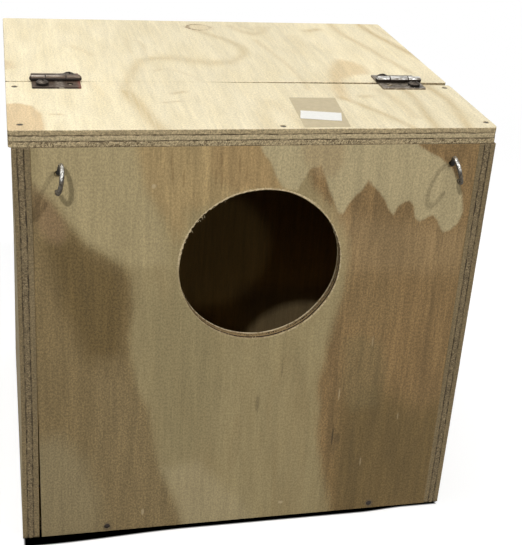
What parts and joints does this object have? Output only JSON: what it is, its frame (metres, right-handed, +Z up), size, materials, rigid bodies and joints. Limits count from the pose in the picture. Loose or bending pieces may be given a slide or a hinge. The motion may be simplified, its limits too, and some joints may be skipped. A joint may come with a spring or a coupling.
{
  "type": "bird nest box",
  "caption": "Plywood nest box for cage birds with a round entry hole, a hinged lid behind a fixed roof board, and wire hooks that hang it on a cage.",
  "frame": {"origin": "middle of the box's underside, between the front and back faces", "axes": "+X to the right as the front with the entry hole is seen, +Y from the front to the back, +Z up"},
  "size_m": [0.254, 0.2329, 0.2507],
  "materials": {
    "wall_plywood": "bare three-ply pine, weathered khaki with brown water stains, matt",
    "roof_plywood": "bare three-ply pine, pale cream with tan grain, matt",
    "dull_steel": "dull plated steel, lightly rusted",
    "bright_steel": "plated steel, scuffed",
    "screw_steel": "zinc plated, worn",
    "zinc_wire": "bright zinc plated wire",
    "nail_steel": "dark oxidised steel",
    "label_paper": "plain white paper label",
    "paper_tape": "tan paper tape, semi-matt"
  },
  "bodies": {
    "box": {"front_panel": "wall_plywood", "back_panel": "wall_plywood", "left_panel": "wall_plywood", "right_panel": "wall_plywood", "floor_panel": "wall_plywood", "roof_board": "roof_plywood", "left_hinge_front_leaf": "dull_steel", "left_hinge_pin": "dull_steel", "right_hinge_front_leaf": "bright_steel", "right_hinge_pin": "bright_steel", "left_hinge_front_screw": "screw_steel", "right_hinge_front_screw": "screw_steel", "left_hook": "zinc_wire", "right_hook": "zinc_wire", "roof_nails": "nail_steel", "front_nails": "nail_steel", "back_nails": "nail_steel", "left_nails": "nail_steel", "right_nails": "nail_steel"},
    "lid": {"lid_board": "roof_plywood", "left_hinge_back_leaf": "dull_steel", "right_hinge_back_leaf": "bright_steel", "left_hinge_back_screw": "screw_steel", "right_hinge_back_screw": "screw_steel"}
  },
  "joints": [
    {"name": "lid_hinge", "type": "hinge", "parent": "box", "child": "lid", "pos_m": [0, -0.0292, 0.24875], "axis": [1, 0, 0], "range_deg": [0, 178]}
  ]
}
